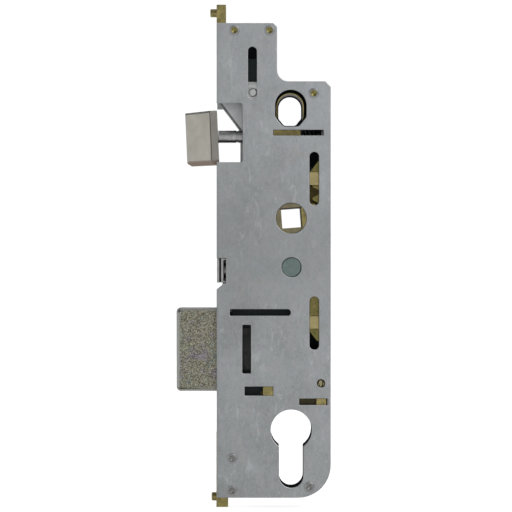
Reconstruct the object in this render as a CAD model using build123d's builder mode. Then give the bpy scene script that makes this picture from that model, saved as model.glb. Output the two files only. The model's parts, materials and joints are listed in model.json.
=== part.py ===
"""Gearbox case of a multipoint mortise lock, in millimetres.

Origin on the spindle axis at mid-thickness. +X runs to the back of the lock, +Z up, and the cover
faces -Y. The faceplate side is the front edge, at the lowest X of the case.
"""

import os
from math import atan, cos, degrees, pi, radians, sin, tan

from build123d import *

# Case
FRONT_X = -32.4
BACK_X = 17.2
TOP_Z = 84.8
BOTTOM_Z = -121.4
STEP_X = -6.1
LEDGE_Z = 59.5
CASE_Y = 7.5
SHEET = 1.5
INNER_Y = CASE_Y - SHEET
CORNER_R = 14.2
ROD_GAP_X = -27.2
EDGE_R = 0.28

# Spindle, follower and rack
SQUARE = 8.3
SQUARE_TILT = 4.3
BOSS_R = 6.62
BOSS_HOLE_R = 6.7
BOSS_Y = 6.6
MODULE = 1.8
TEETH = 12
PRESSURE_ANGLE = radians(28)
PITCH_R = MODULE * TEETH / 2
ADDENDUM = 0.8 * MODULE
ROOT_R = PITCH_R - MODULE
TIP_R = PITCH_R + ADDENDUM
TOOTH_THINNING = 0.26
GEAR_Y = 3.5

RACK_FRONT_X = 8.2
RACK_BACK_X = 15.4
RACK_TOP_Z = 25.1
RACK_BOTTOM_Z = -53.4
RACK_FRONT_Y = -4.4
TAB_FRONT_Y = -5.85
SLIDE_FRONT_Y = 4.2
SLIDE_BACK_Y = 5.7
SLOT_X = 7.9
SLOT_W = 4.2
TAB_GAP = 0.15

# Latch
LATCH_Z = 35.8
SHAFT_R = 2.75
HEAD_FRONT_X = -46.0
HEAD_BACK_X = -31.9
HEAD_LOW_Z = 23.5
HEAD_TOP_Z = 47.0
HEAD_HALF_Y = 5.5
HEAD_TILT = 2.5
LATCH_TRAVEL = 10.2
LEVER_PIVOT = (-6.4, 16.0)
LEVER_REACH = 13.0

# Deadbolt and its drive
BOLT_TIP_X = -49.9
BOLT_END_X = -28.2
BOLT_LOW_Z = -75.2
BOLT_TOP_Z = -38.9
BOLT_FRONT_Y = -5.0
BOLT_BACK_Y = 4.0
BOLT_PIN = (-12.0, -52.0)
THROW_PIVOT = (-4.8, -68.18)
KEY_PIN = (-1.1, -76.5)
KEY_PLATE_Y = (-3.1, -1.7)
KEY_TAB_Y = -6.9
TAB_BACK_Y = -5.2

# Openings of the plates
CYLINDER_Z = -92.0
CYLINDER_R = 8.9
CYLINDER_SLOT_W = 10.5
CYLINDER_LOW_Z = -117.2
WINDOW_R = 6.85
WINDOW_X = -0.2
WINDOW_Z = 48.95
WINDOW_FLAT_Z = 39.8
SLEEVE_R = 5.5
SLEEVE_WALL = 0.5
SLEEVE_X = -0.45
SLEEVE_Z = 48.55
BACK_WINDOW_R = 5.0
BACK_WINDOW_FLAT_Z = 41.0
BLANK = (0.1, -21.3)
BLANK_R = 4.2
DETENT_PIN = (12.9, -71.7)
UPPER_POSTS = [(-24.7, 81.6), (-9.4, 81.6), (9.8, 54.3)]
LOWER_POSTS = [(-25.6, -104.3), (-25.7, -118.3), (7.9, -116.7)]
POST_R = 1.4
RIVET_HEAD_R = 2.35

parts_made = []


def facing(y):
    """Sketch plane at depth y: its x is X, its y is Z, and it extrudes towards the cover."""
    return Plane.XZ.offset(-y)


def finish(block, label):
    """Labels a finished piece and writes it."""
    block.part.label = label
    export_step(block.part, f"parts/{label}.step")
    parts_made.append(label)


def rounded_slot(x0, x1, z0, z1):
    """A slot with half-round ends, along its longer side."""
    width, height = x1 - x0, z1 - z0
    with BuildSketch() as slot:
        with Locations(((x0 + x1) / 2, (z0 + z1) / 2)):
            SlotOverall(max(width, height), min(width, height), rotation=0 if width > height else 90)
    return slot.sketch


def square_slot(x0, x1, z0, z1, corner=0.35):
    """A rectangular opening with small corner radii."""
    with BuildSketch() as slot:
        with Locations(((x0 + x1) / 2, (z0 + z1) / 2)):
            RectangleRounded(x1 - x0, z1 - z0, corner)
    return slot.sketch


def case_outline(inset=0):
    """The stepped outline of the case, moved inward by inset."""
    with BuildSketch() as outline:
        Polygon(
            (FRONT_X, BOTTOM_Z), (BACK_X, BOTTOM_Z), (BACK_X, LEDGE_Z), (STEP_X, LEDGE_Z),
            (STEP_X, TOP_Z), (FRONT_X, TOP_Z), align=None,
        )
        corners = outline.vertices()
        fillet(corners.sort_by_distance((BACK_X, BOTTOM_Z))[0], CORNER_R)
        fillet(outline.vertices().sort_by_distance((STEP_X, LEDGE_Z))[0], 5)
        chamfer(outline.vertices().sort_by_distance((STEP_X, TOP_Z))[0], 1.7)
        chamfer(outline.vertices().sort_by_distance((BACK_X, LEDGE_Z))[0], 2.4)
        if inset:
            offset(amount=-inset, kind=Kind.INTERSECTION, mode=Mode.REPLACE)
    return outline.sketch


def window_outline(radius, centre_x, centre_z, flat_z):
    """A round-topped window whose lower corners are cut off to a flat sill."""
    high = centre_z - flat_z
    corner_x, corner_z = 0.5 * radius, 0.62 * radius
    with BuildSketch() as window:
        with Locations((centre_x, centre_z)):
            Circle(radius)
            Polygon(
                (-corner_x, -high), (corner_x, -high), (radius, corner_z - high), (radius, 0),
                (-radius, 0), (-radius, corner_z - high), align=None,
            )
        low_corners = window.vertices().filter_by(lambda v: v.Y < centre_z - 1)
        fillet(low_corners, 0.3 * radius)
    return window.sketch


def cylinder_outline():
    """The Euro profile: a circle with a straight round-ended slot below it."""
    with BuildSketch() as profile:
        with Locations((0, CYLINDER_Z)):
            Circle(CYLINDER_R)
        add(rounded_slot(-CYLINDER_SLOT_W / 2, CYLINDER_SLOT_W / 2, CYLINDER_LOW_Z, CYLINDER_Z + 5))
    return profile.sketch


def through_openings():
    """Openings that both plates share."""
    with BuildSketch() as shared:
        Circle(BOSS_HOLE_R)
        add(cylinder_outline())
        with Locations(*UPPER_POSTS, *LOWER_POSTS):
            Circle(POST_R)
    return shared.sketch


def cover_openings():
    """Slots and holes of the cover alone."""
    with BuildSketch() as openings:
        add(window_outline(WINDOW_R, WINDOW_X, WINDOW_Z, WINDOW_FLAT_Z))
        add(rounded_slot(-18.8, -14.9, 51.8, 74.5))
        add(square_slot(-7.9, 14.1, 35.9, 38.4))
        add(rounded_slot(SLOT_X, SLOT_X + SLOT_W, 5.6, 28.8))
        add(rounded_slot(SLOT_X, SLOT_X + SLOT_W, -57.1, -34.0))
        add(rounded_slot(-24.0, -0.2, -42.4, -39.5))
        add(square_slot(-26.7, -20.0, -42.4, -39.5))
        add(square_slot(-21.3, -17.5, -67.5, -46.3, 0.6))
        add(square_slot(-20.3, -7.8, -77.1, -73.1))
        add(square_slot(3.4, 16.1, -81.15, -78.3))
        with Locations(BLANK):
            Circle(BLANK_R + 0.15)
        with Locations(DETENT_PIN):
            Circle(1.8)
        with BuildLine():
            Polyline(
                (FRONT_X - 1, -17.3), (-28.3, -17.3), (-28.3, -28.4), (-30.0, -28.4), (-30.0, -29.0),
                (FRONT_X, -30.9), (FRONT_X - 1, -30.9), close=True,
            )
        make_face()
    return openings.sketch


def latch_notch(with_gusset):
    """The see-through notch for the latch head, with the back plate's corner gusset if asked."""
    low_z = 24.4
    if with_gusset:
        depth_x = -22.2
        points = [
            (FRONT_X - 1, low_z), (depth_x, low_z), (depth_x, 38.3), (-29.7, 48.2), (FRONT_X - 1, 48.2),
        ]
    else:
        depth_x, high_z = -21.1, 50.0
        points = [(FRONT_X - 1, low_z), (depth_x, low_z), (depth_x, high_z), (FRONT_X - 1, high_z)]
    with BuildSketch() as notch:
        Polygon(*points, align=None)
        fillet(notch.vertices().sort_by_distance((depth_x, low_z))[0], 1.1)
        if not with_gusset:
            fillet(notch.vertices().sort_by_distance((depth_x, high_z))[0], 1.1)
    return notch.sketch


def make_case():
    outline = case_outline()
    inner = case_outline(SHEET)
    shared = through_openings()
    cover_slots = cover_openings()
    open_notch = latch_notch(False)
    gusset_notch = latch_notch(True)
    back_window = window_outline(BACK_WINDOW_R, SLEEVE_X, SLEEVE_Z, BACK_WINDOW_FLAT_Z)

    with BuildPart() as cover:
        with BuildSketch(facing(-INNER_Y)):
            add(outline)
            add(shared, mode=Mode.SUBTRACT)
            add(cover_slots, mode=Mode.SUBTRACT)
            add(open_notch, mode=Mode.SUBTRACT)
        extrude(amount=SHEET)
        fillet(cover.faces().sort_by(Axis.Y)[0].edges(), EDGE_R)
    finish(cover, "case_cover")

    with BuildPart() as tray:
        with BuildSketch(facing(CASE_Y)):
            add(outline)
            add(shared, mode=Mode.SUBTRACT)
            add(gusset_notch, mode=Mode.SUBTRACT)
            add(back_window, mode=Mode.SUBTRACT)
            Polygon(
                (FRONT_X - 1, -27.6), (-30.0, -27.6), (-30.0, -29.0), (FRONT_X, -30.9),
                (FRONT_X - 1, -30.9), align=None, mode=Mode.SUBTRACT,
            )
        extrude(amount=SHEET)
        with BuildSketch(facing(INNER_Y)):
            add(outline)
            add(inner, mode=Mode.SUBTRACT)
            Polygon(
                (FRONT_X - 1, BOTTOM_Z - 1), (ROD_GAP_X, BOTTOM_Z - 1), (ROD_GAP_X, TOP_Z + 1),
                (FRONT_X - 1, TOP_Z + 1), align=None, mode=Mode.SUBTRACT,
            )
            for low_z, high_z in ((-15.8, 21.2), (-37.6, -31.6)):
                with Locations((FRONT_X + SHEET / 2, (low_z + high_z) / 2)):
                    Rectangle(SHEET, high_z - low_z)
        extrude(amount=2 * INNER_Y)
        fillet(tray.faces().sort_by(Axis.Y)[-1].edges(), EDGE_R)
    finish(tray, "case_tray")


def make_posts():
    for label, places in (("upper_case_posts", UPPER_POSTS), ("lower_case_posts", LOWER_POSTS)):
        with BuildPart() as posts:
            with BuildSketch(facing(CASE_Y)):
                with Locations(*places):
                    Circle(POST_R)
            extrude(amount=2 * CASE_Y)
            for y in (-CASE_Y, CASE_Y + 0.4):
                with BuildSketch(facing(y)):
                    with Locations(*places):
                        Circle(RIVET_HEAD_R)
                extrude(amount=0.4)
            with BuildSketch(facing(-CASE_Y - 0.4)):
                with Locations(*places):
                    Circle(1.2)
            extrude(amount=-0.35, mode=Mode.SUBTRACT)
        finish(posts, label)

    with BuildPart() as sleeve:
        with BuildSketch(facing(INNER_Y)):
            add(window_outline(SLEEVE_R + SLEEVE_WALL, SLEEVE_X, SLEEVE_Z, WINDOW_FLAT_Z))
            add(window_outline(SLEEVE_R, SLEEVE_X, SLEEVE_Z, WINDOW_FLAT_Z - 1), mode=Mode.SUBTRACT)
            with Locations((SLEEVE_X, WINDOW_FLAT_Z)):
                Rectangle(4 * SLEEVE_R, 3.6, mode=Mode.SUBTRACT)
        extrude(amount=INNER_Y + 5.3)
    finish(sleeve, "window_sleeve")

    with BuildPart() as blank:
        with BuildSketch(facing(INNER_Y)):
            with Locations(BLANK):
                Circle(BLANK_R)
        extrude(amount=INNER_Y + CASE_Y - 0.35)
        chamfer(blank.faces().sort_by(Axis.Y)[0].edges(), 0.3)
    finish(blank, "handle_bolt_post")


def make_clip_nut():
    """A U clip whose back leaf carries a threaded collar along X."""
    low_z, high_z, side_y = -28.0, -17.4, 5.8
    leaf_front_x, leaf_t = FRONT_X + 0.1, 1.05
    rear_x = -30.5
    mid_z = (low_z + high_z) / 2
    height = high_z - low_z
    with BuildPart() as clip:
        with BuildSketch(Plane.XY.offset(low_z)):
            with Locations((leaf_front_x + leaf_t / 2, 0)):
                Rectangle(leaf_t, 2 * side_y)
            with Locations((rear_x + leaf_t / 2, 0)):
                Rectangle(leaf_t, 2 * side_y)
            with Locations(((leaf_front_x + rear_x + leaf_t) / 2, side_y - 0.5)):
                Rectangle(rear_x + leaf_t - leaf_front_x, 1.0)
        extrude(amount=height)
        with BuildSketch(Plane.YZ.offset(rear_x + leaf_t)):
            with Locations((0, mid_z)):
                Circle(3.3)
        extrude(amount=2.4)
        with BuildSketch(Plane.YZ.offset(rear_x + leaf_t)):
            with Locations((0, low_z + 0.4), (0, high_z - 0.4)):
                Rectangle(2 * side_y, 0.8)
        extrude(amount=1.0)
        with BuildSketch(Plane.YZ.offset(rear_x)):
            with Locations((0, mid_z)):
                Circle(2.1)
        extrude(amount=4.5, mode=Mode.SUBTRACT)
        with BuildSketch(Plane.YZ.offset(leaf_front_x)):
            with Locations((0, mid_z)):
                Circle(2.6)
        extrude(amount=leaf_t, mode=Mode.SUBTRACT)
    finish(clip, "faceplate_clip_nut")


def tooth_outline(half_pitch_angle):
    """One involute gear tooth on the +X axis, from inside the root circle to the tip circle."""
    base_r = PITCH_R * cos(PRESSURE_ANGLE)
    at_pitch = tan(PRESSURE_ANGLE) - PRESSURE_ANGLE
    flank = []
    for step in range(5):
        r = base_r + (TIP_R - base_r) * step / 4
        roll = (max(r / base_r, 1) ** 2 - 1) ** 0.5
        angle = half_pitch_angle + at_pitch - (roll - atan(roll))
        flank.append((r * cos(angle), r * sin(angle)))
    foot_r = ROOT_R - 0.6
    foot = (foot_r * cos(half_pitch_angle + at_pitch), foot_r * sin(half_pitch_angle + at_pitch))
    upper = [foot] + flank
    lower = [(x, -z) for x, z in reversed(upper)]
    with BuildSketch() as tooth:
        Polygon(*upper, *lower, align=None)
    return tooth.sketch


def make_follower():
    half_angle = (pi * MODULE / 4 - TOOTH_THINNING / 2) / PITCH_R
    tooth = tooth_outline(half_angle)
    with BuildPart() as follower:
        with BuildSketch(facing(GEAR_Y)):
            Circle(ROOT_R)
            for place in range(-2, 3):
                add(tooth.rotate(Axis.Z, place * 360 / TEETH))
        extrude(amount=2 * GEAR_Y)
        with BuildSketch(facing(BOSS_Y)):
            Circle(BOSS_R)
        extrude(amount=2 * BOSS_Y)
        with BuildSketch(facing(BOSS_Y)):
            Rectangle(SQUARE, SQUARE, rotation=SQUARE_TILT)
        extrude(amount=2 * BOSS_Y, mode=Mode.SUBTRACT)
    finish(follower, "follower")


def make_drive():
    gap = pi * MODULE
    tip_x = PITCH_R - ADDENDUM
    root_x = PITCH_R + MODULE
    half_tooth = pi * MODULE / 4 - TOOTH_THINNING / 2
    slope = tan(PRESSURE_ANGLE)
    end_z = 2.5 * gap
    teeth = [-1.5, -0.5, 0.5, 1.5]
    edge = [(tip_x, -end_z + half_tooth - slope * ADDENDUM), (root_x, -end_z + half_tooth + slope * MODULE)]
    for place in teeth:
        z = place * gap
        edge += [
            (root_x, z - half_tooth - slope * MODULE), (tip_x, z - half_tooth + slope * ADDENDUM),
            (tip_x, z + half_tooth - slope * ADDENDUM), (root_x, z + half_tooth + slope * MODULE),
        ]
    edge += [(root_x, end_z - half_tooth - slope * MODULE), (tip_x, end_z - half_tooth + slope * ADDENDUM)]
    shoulder_z = 18.2
    rivet_places = [(13.6, 20.5), (13.6, -38.5), (13.6, -48.0)]
    with BuildPart() as rack:
        with BuildSketch(facing(SLIDE_FRONT_Y)):
            Polygon(
                (11.3, RACK_BOTTOM_Z), (RACK_BACK_X, RACK_BOTTOM_Z), (RACK_BACK_X, RACK_TOP_Z),
                (11.9, RACK_TOP_Z), (RACK_FRONT_X, 20.0), (RACK_FRONT_X, shoulder_z),
                (tip_x, shoulder_z), *reversed(edge), (tip_x, -shoulder_z),
                (RACK_FRONT_X, -shoulder_z), (RACK_FRONT_X, -49.4), align=None,
            )
            with Locations(*rivet_places):
                Circle(1.2, mode=Mode.SUBTRACT)
        extrude(amount=SLIDE_FRONT_Y - RACK_FRONT_Y)
        with BuildSketch(facing(RACK_FRONT_Y)):
            for low_z, high_z in ((14.5, 20.0), (-48.0, -42.6)):
                with Locations((SLOT_X + SLOT_W / 2, (low_z + high_z) / 2)):
                    RectangleRounded(SLOT_W - 2 * TAB_GAP, high_z - low_z, 0.4)
        extrude(amount=RACK_FRONT_Y - TAB_FRONT_Y)
    finish(rack, "rack_bar")

    connector_places = [(-30.4, 74.0), (-30.4, -96.0)]
    link_place = (-16.6, 54.8)
    lug_places = [(-21.0, -8.0), (-17.0, -8.0)]
    with BuildPart() as slide:
        with BuildSketch(facing(SLIDE_BACK_Y)):
            Polygon(
                (-32.1, 58.8), (-9.5, 58.8), (-9.5, 70.4), (-28.5, 70.4), (-28.5, 80.0), (-32.1, 80.0),
                align=None,
            )
            Polygon((-20.2, 10.0), (-9.3, 10.0), (-9.3, 60.0), (-20.2, 60.0), align=None)
            Polygon((-25.8, -45.0), (-9.3, -45.0), (-9.3, 14.0), (-25.8, 14.0), align=None)
            Polygon((-25.8, -50.0), (15.2, -50.0), (15.2, -34.8), (-25.8, -34.8), align=None)
            Polygon((7.4, -40.0), (15.2, -40.0), (15.2, 22.5), (7.4, 22.5), align=None)
            Polygon(
                (-32.1, -91.5), (-9.8, -91.5), (-9.8, -41.0), (-30.5, -41.0), (-30.5, -46.2), (-32.1, -46.2),
                align=None,
            )
            Polygon((-32.1, -116.0), (-28.6, -116.0), (-28.6, -90.0), (-32.1, -90.0), align=None)
            with Locations(*rivet_places, *connector_places, link_place, *lug_places):
                Circle(1.2, mode=Mode.SUBTRACT)
        extrude(amount=SLIDE_BACK_Y - SLIDE_FRONT_Y)
    finish(slide, "drive_slide")

    with BuildPart() as rivets:
        with BuildSketch(facing(SLIDE_BACK_Y)):
            with Locations(*rivet_places):
                Circle(1.2)
        extrude(amount=SLIDE_BACK_Y - RACK_FRONT_Y)
    finish(rivets, "rack_rivets")

    with BuildPart() as connector_rivets:
        with BuildSketch(facing(SLIDE_BACK_Y)):
            with Locations(*connector_places):
                Circle(1.2)
        extrude(amount=SLIDE_BACK_Y + 3.0)
    finish(connector_rivets, "connector_rivets")

    ends = (
        ("upper_rod_connector", -32.5, -28.4, 71.0, 93.3, 89.95, 1.8, -35.3, connector_places[0]),
        ("lower_rod_connector", -32.6, -27.5, -125.9, -93.0, -121.65, 1.85, -34.7, connector_places[1]),
    )
    for label, front_x, back_x, low_z, high_z, spigot_z, spigot_r, tip, rivet_at in ends:
        with BuildPart() as connector:
            with BuildSketch(facing(SLIDE_FRONT_Y)):
                with Locations((front_x, low_z)):
                    Rectangle(back_x - front_x, high_z - low_z, align=Align.MIN)
                with Locations(rivet_at):
                    Circle(1.2, mode=Mode.SUBTRACT)
            extrude(amount=SLIDE_FRONT_Y + 3.0)
            with BuildSketch(Plane.YZ.offset(tip)):
                with Locations((0.6, spigot_z)):
                    Circle(spigot_r)
            extrude(amount=front_x - tip + 0.5)
            chamfer(connector.faces().sort_by(Axis.X)[0].edges(), 0.3)
        finish(connector, label)

    with BuildPart() as link:
        with BuildSketch(facing(-3.9)):
            with Locations((-20.0, 50.6)):
                Rectangle(9.6, 8.8, align=Align.MIN)
            with Locations(link_place):
                Circle(1.2, mode=Mode.SUBTRACT)
        extrude(amount=1.0)
    finish(link, "upper_link")

    with BuildPart() as link_rivet:
        with BuildSketch(facing(SLIDE_BACK_Y)):
            with Locations(link_place):
                Circle(1.2)
        extrude(amount=SLIDE_BACK_Y + 4.9)
        with BuildSketch(facing(SLIDE_FRONT_Y)):
            with Locations(link_place):
                Circle(2.0)
        extrude(amount=SLIDE_FRONT_Y + 3.9)
        with BuildSketch(facing(-4.9)):
            with Locations(link_place):
                Circle(1.9)
        extrude(amount=0.9)
        fillet(link_rivet.faces().sort_by(Axis.Y)[0].edges(), 0.75)
    finish(link_rivet, "upper_link_rivet")

    with BuildPart() as lug:
        with BuildSketch(facing(SLIDE_FRONT_Y)):
            with Locations((-19.0, -8.0)):
                Rectangle(8.0, 4.0)
            with Locations(*lug_places):
                Circle(1.2, mode=Mode.SUBTRACT)
        extrude(amount=SLIDE_FRONT_Y + 3.0)
    finish(lug, "slide_lug")

    with BuildPart() as lug_rivets:
        with BuildSketch(facing(SLIDE_BACK_Y)):
            with Locations(*lug_places):
                Circle(1.2)
        extrude(amount=SLIDE_BACK_Y + 3.0)
    finish(lug_rivets, "lug_rivets")


def make_coil(label, start, direction, length, coil_r, wire_r, turns):
    """A compression spring as one round wire along a helix, from start."""
    pitch = (length - 2 * wire_r) / turns
    with BuildPart() as coil:
        with BuildLine() as path:
            Helix(pitch, pitch * turns, coil_r, center=start, direction=direction)
        with BuildSketch(Plane(origin=path.line @ 0, z_dir=path.line % 0)):
            Circle(wire_r)
        sweep(is_frenet=True)
    finish(coil, label)


def make_springs():
    spring_x, spring_y = -19.0, 0.6
    make_coil("upper_centring_spring", (spring_x, spring_y, -5.5), (0, 0, 1), 17.6, 2.2, 0.35, 9)
    make_coil("lower_centring_spring", (spring_x, spring_y, -27.5), (0, 0, 1), 17.6, 2.2, 0.35, 9)
    make_coil("latch_spring", (-7.6, 0.3, 36.4), (1, 0, 0), 20.6, 1.6, 0.3, 13)
    with BuildPart() as stops:
        with BuildSketch(facing(3.8)):
            for z in (13.2, -29.2):
                with Locations((spring_x, z)):
                    Rectangle(8.0, 2.4)
        extrude(amount=3.8 + INNER_Y)
    finish(stops, "spring_stops")
    with BuildPart() as latch_stop:
        with BuildSketch(facing(2.6)):
            with Locations((13.2, 34.4)):
                Rectangle(2.5, 4.0, align=Align.MIN)
        extrude(amount=5.2)
    finish(latch_stop, "latch_spring_stop")


def make_latch():
    ridge_x, nose_y, low_end_draft, top_end_draft = -35.0, 4.3, 2.2, 0.9
    with BuildPart() as head:
        with BuildSketch(Plane.XY.offset(HEAD_LOW_Z)):
            Polygon(
                (HEAD_FRONT_X, HEAD_HALF_Y), (HEAD_FRONT_X, nose_y), (ridge_x, -HEAD_HALF_Y),
                (HEAD_BACK_X, -HEAD_HALF_Y), (HEAD_BACK_X, HEAD_HALF_Y), align=None,
            )
        extrude(amount=HEAD_TOP_Z - HEAD_LOW_Z)
        ends = head.faces().filter_by(Axis.Z)
        for end, draft in zip(ends.sort_by(Axis.Z), (low_end_draft, top_end_draft)):
            chamfer(end.edges().sort_by(Axis.Y)[:2], draft)
        fillet(head.edges().filter_by(Axis.Z).sort_by(Axis.X)[:2], 0.5)
        with BuildSketch(Plane.YZ.offset(HEAD_BACK_X)):
            with Locations((0, LATCH_Z)):
                Circle(SHAFT_R)
        extrude(amount=-2.0, mode=Mode.SUBTRACT)
    head.part = head.part.rotate(Axis((HEAD_BACK_X, 0, LATCH_Z), (0, 1, 0)), -HEAD_TILT)
    finish(head, "latch_head")

    tail_x = -9.0
    with BuildPart() as shaft:
        with BuildSketch(Plane.YZ.offset(HEAD_BACK_X + 0.15)):
            with Locations((0, LATCH_Z)):
                Circle(SHAFT_R)
        extrude(amount=tail_x - HEAD_BACK_X - 0.15)
        with BuildSketch(Plane.YZ.offset(-24.0)):
            with Locations((0, LATCH_Z)):
                Circle(SHAFT_R + 0.5)
                Circle(SHAFT_R - 0.25, mode=Mode.SUBTRACT)
        extrude(amount=0.9, mode=Mode.SUBTRACT)
    finish(shaft, "latch_shaft")

    block_x, block_w = -15.0, 7.0
    with BuildPart() as crosshead:
        with BuildSketch(facing(3.4)):
            Polygon(
                (block_x, 26.4), (block_x + 1.35, 26.4), (block_x + 1.35, 31.4),
                (block_x + block_w - 1.35, 31.4), (block_x + block_w - 1.35, 26.4),
                (block_x + block_w, 26.4), (block_x + block_w, 39.2), (block_x, 39.2), align=None,
            )
        extrude(amount=7.7)
        with BuildSketch(Plane.YZ.offset(block_x)):
            with Locations((0, LATCH_Z)):
                Circle(SHAFT_R)
        extrude(amount=tail_x - block_x, mode=Mode.SUBTRACT)
    finish(crosshead, "latch_crosshead")

    with BuildPart() as tail:
        with BuildSketch(facing(-4.3)):
            with Locations((block_x, 34.4)):
                Rectangle(19.2, 4.8, align=Align.MIN)
        extrude(amount=1.5)
        with BuildSketch(facing(-5.8)):
            with Locations((-7.7, 36.05)):
                Rectangle(11.6, 2.2, align=Align.MIN)
        extrude(amount=1.3)
    finish(tail, "latch_tail_bar")

    with BuildPart() as guide:
        with BuildSketch(facing(3.9)):
            with Locations((-20.0, 30.0)):
                Rectangle(4.8, 11.0, align=Align.MIN)
        extrude(amount=3.9 + INNER_Y)
        with BuildSketch(Plane.YZ.offset(-20.0)):
            with Locations((0, LATCH_Z)):
                Circle(SHAFT_R + 0.07)
        extrude(amount=4.8, mode=Mode.SUBTRACT)
    finish(guide, "latch_guide")

    pivot_x, pivot_z = LEVER_PIVOT
    lean = degrees(atan(LATCH_TRAVEL / 2 / (LEVER_REACH ** 2 - LATCH_TRAVEL ** 2 / 4) ** 0.5))
    with BuildPart() as lever:
        with BuildSketch(facing(2.0)):
            with Locations((pivot_x, pivot_z)):
                Circle(3.0)
                with Locations(Location((0, 0), lean)):
                    Rectangle(2.6, LEVER_REACH, align=(Align.CENTER, Align.MIN))
                    with Locations((0, LEVER_REACH)):
                        Circle(1.8)
            with Locations((pivot_x, pivot_z)):
                Circle(1.55, mode=Mode.SUBTRACT)
        extrude(amount=4.0)
    finish(lever, "latch_lever")

    with BuildPart() as pin:
        with BuildSketch(facing(INNER_Y)):
            with Locations((pivot_x, pivot_z)):
                Circle(1.5)
        extrude(amount=INNER_Y + 2.6)
    finish(pin, "latch_lever_pin")


def make_deadbolt():
    lap_x, tail_end_x = -32.2, -9.5
    tail_low_z, tail_top_z = -66.4, -48.0
    tail_y = 2.5
    rivet_places = [(-30.2, -52.0), (-30.2, -62.0)]
    with BuildPart() as bolt:
        with BuildSketch(facing(BOLT_BACK_Y)):
            Polygon(
                (BOLT_TIP_X, BOLT_LOW_Z), (BOLT_END_X, BOLT_LOW_Z), (BOLT_END_X, BOLT_TOP_Z),
                (BOLT_TIP_X, BOLT_TOP_Z), align=None,
            )
        extrude(amount=BOLT_BACK_Y - BOLT_FRONT_Y)
        fillet(bolt.edges().filter_by(Axis.Y).sort_by(Axis.X)[:2], 1.8)
        chamfer(bolt.faces().sort_by(Axis.X)[0].edges().filter_by(Axis.Z), 0.8)
        with BuildSketch(facing(BOLT_BACK_Y)):
            Polygon(
                (lap_x, tail_low_z), (BOLT_END_X, tail_low_z), (BOLT_END_X, tail_top_z),
                (lap_x, tail_top_z), align=None,
            )
        extrude(amount=BOLT_BACK_Y - tail_y, mode=Mode.SUBTRACT)
        with BuildSketch(facing(tail_y)):
            with Locations(*rivet_places):
                Circle(1.2)
        extrude(amount=4.5, mode=Mode.SUBTRACT)
    finish(bolt, "deadbolt")

    with BuildPart() as tail:
        with BuildSketch(facing(BOLT_BACK_Y)):
            Polygon(
                (lap_x, tail_low_z), (tail_end_x, tail_low_z), (tail_end_x, tail_top_z),
                (lap_x, tail_top_z), align=None,
            )
            with Locations(*rivet_places, BOLT_PIN):
                Circle(1.2, mode=Mode.SUBTRACT)
        extrude(amount=BOLT_BACK_Y - tail_y)
        fillet(tail.edges().filter_by(Axis.Y).group_by(Axis.X)[-1], 2.0)
    finish(tail, "deadbolt_tail")

    with BuildPart() as rivets:
        with BuildSketch(facing(BOLT_BACK_Y)):
            with Locations(*rivet_places):
                Circle(1.2)
        extrude(amount=BOLT_BACK_Y - tail_y + 4.5)
    finish(rivets, "deadbolt_rivets")

    with BuildPart() as pin:
        with BuildSketch(facing(BOLT_BACK_Y)):
            with Locations(BOLT_PIN):
                Circle(1.2)
        extrude(amount=BOLT_BACK_Y + 2.0)
    finish(pin, "deadbolt_drive_pin")


def make_key_slide():
    front_y, back_y = KEY_PLATE_Y
    with BuildPart() as slide:
        with BuildSketch(facing(back_y)):
            Polygon(
                (-13.4, -82.3), (15.3, -82.3), (15.3, -74.3), (-4.6, -74.3), (-5.8, -75.6), (-13.4, -75.6),
                align=None,
            )
            with Locations(KEY_PIN):
                Circle(1.2, mode=Mode.SUBTRACT)
        extrude(amount=back_y - front_y)
        with BuildSketch(facing(front_y)):
            with Locations((-10.1, -76.3)):
                RectangleRounded(4.2, 1.3, 0.3)
            with Locations((13.1, -79.72)):
                RectangleRounded(4.2, 2.55, 0.3)
        extrude(amount=front_y - KEY_TAB_Y)
        with BuildSketch(facing(TAB_BACK_Y)):
            with Locations((-10.1, -75.1)):
                RectangleRounded(4.2, 3.7, 0.3)
        extrude(amount=TAB_BACK_Y - KEY_TAB_Y)
    finish(slide, "key_slide")

    with BuildPart() as pin:
        with BuildSketch(facing(1.0)):
            with Locations(KEY_PIN):
                Circle(1.2)
        extrude(amount=1.0 - front_y)
    finish(pin, "key_slide_pin")

    pivot_x, pivot_z = THROW_PIVOT
    lean = degrees(atan((pivot_x - BOLT_PIN[0]) / (BOLT_PIN[1] - pivot_z)))
    slot_half = 1.2 + 0.32
    with BuildPart() as lever:
        with BuildSketch(facing(0.7)):
            with Locations(Location((pivot_x, pivot_z), lean)):
                Circle(3.2)
                Rectangle(6.2, 18.6, align=(Align.CENTER, Align.MIN))
                Rectangle(5.2, 11.0, align=(Align.CENTER, Align.MAX))
                Circle(1.66, mode=Mode.SUBTRACT)
                with Locations((0, 14.2)):
                    Rectangle(2 * slot_half, 6.0, align=(Align.CENTER, Align.MIN), mode=Mode.SUBTRACT)
                with Locations((0, -6.6)):
                    Rectangle(2 * slot_half, 5.0, align=(Align.CENTER, Align.MAX), mode=Mode.SUBTRACT)
        extrude(amount=2.0)
    finish(lever, "throw_lever")

    with BuildPart() as throw_pin:
        with BuildSketch(facing(INNER_Y)):
            with Locations(THROW_PIVOT):
                Circle(1.6)
        extrude(amount=INNER_Y + 2.0)
    finish(throw_pin, "throw_lever_pin")

    with BuildPart() as detent_pin:
        with BuildSketch(facing(INNER_Y)):
            with Locations(DETENT_PIN):
                Circle(1.6)
        extrude(amount=INNER_Y + CASE_Y)
    finish(detent_pin, "detent_pin")

    arm_angle = 60
    with BuildPart() as detent:
        with BuildSketch(facing(0.7)):
            with Locations(Location(DETENT_PIN, arm_angle)):
                Circle(2.7)
                Rectangle(3.0, 9.5, align=(Align.CENTER, Align.MIN))
                Circle(1.66, mode=Mode.SUBTRACT)
        extrude(amount=1.8)
    finish(detent, "detent_lever")


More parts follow.
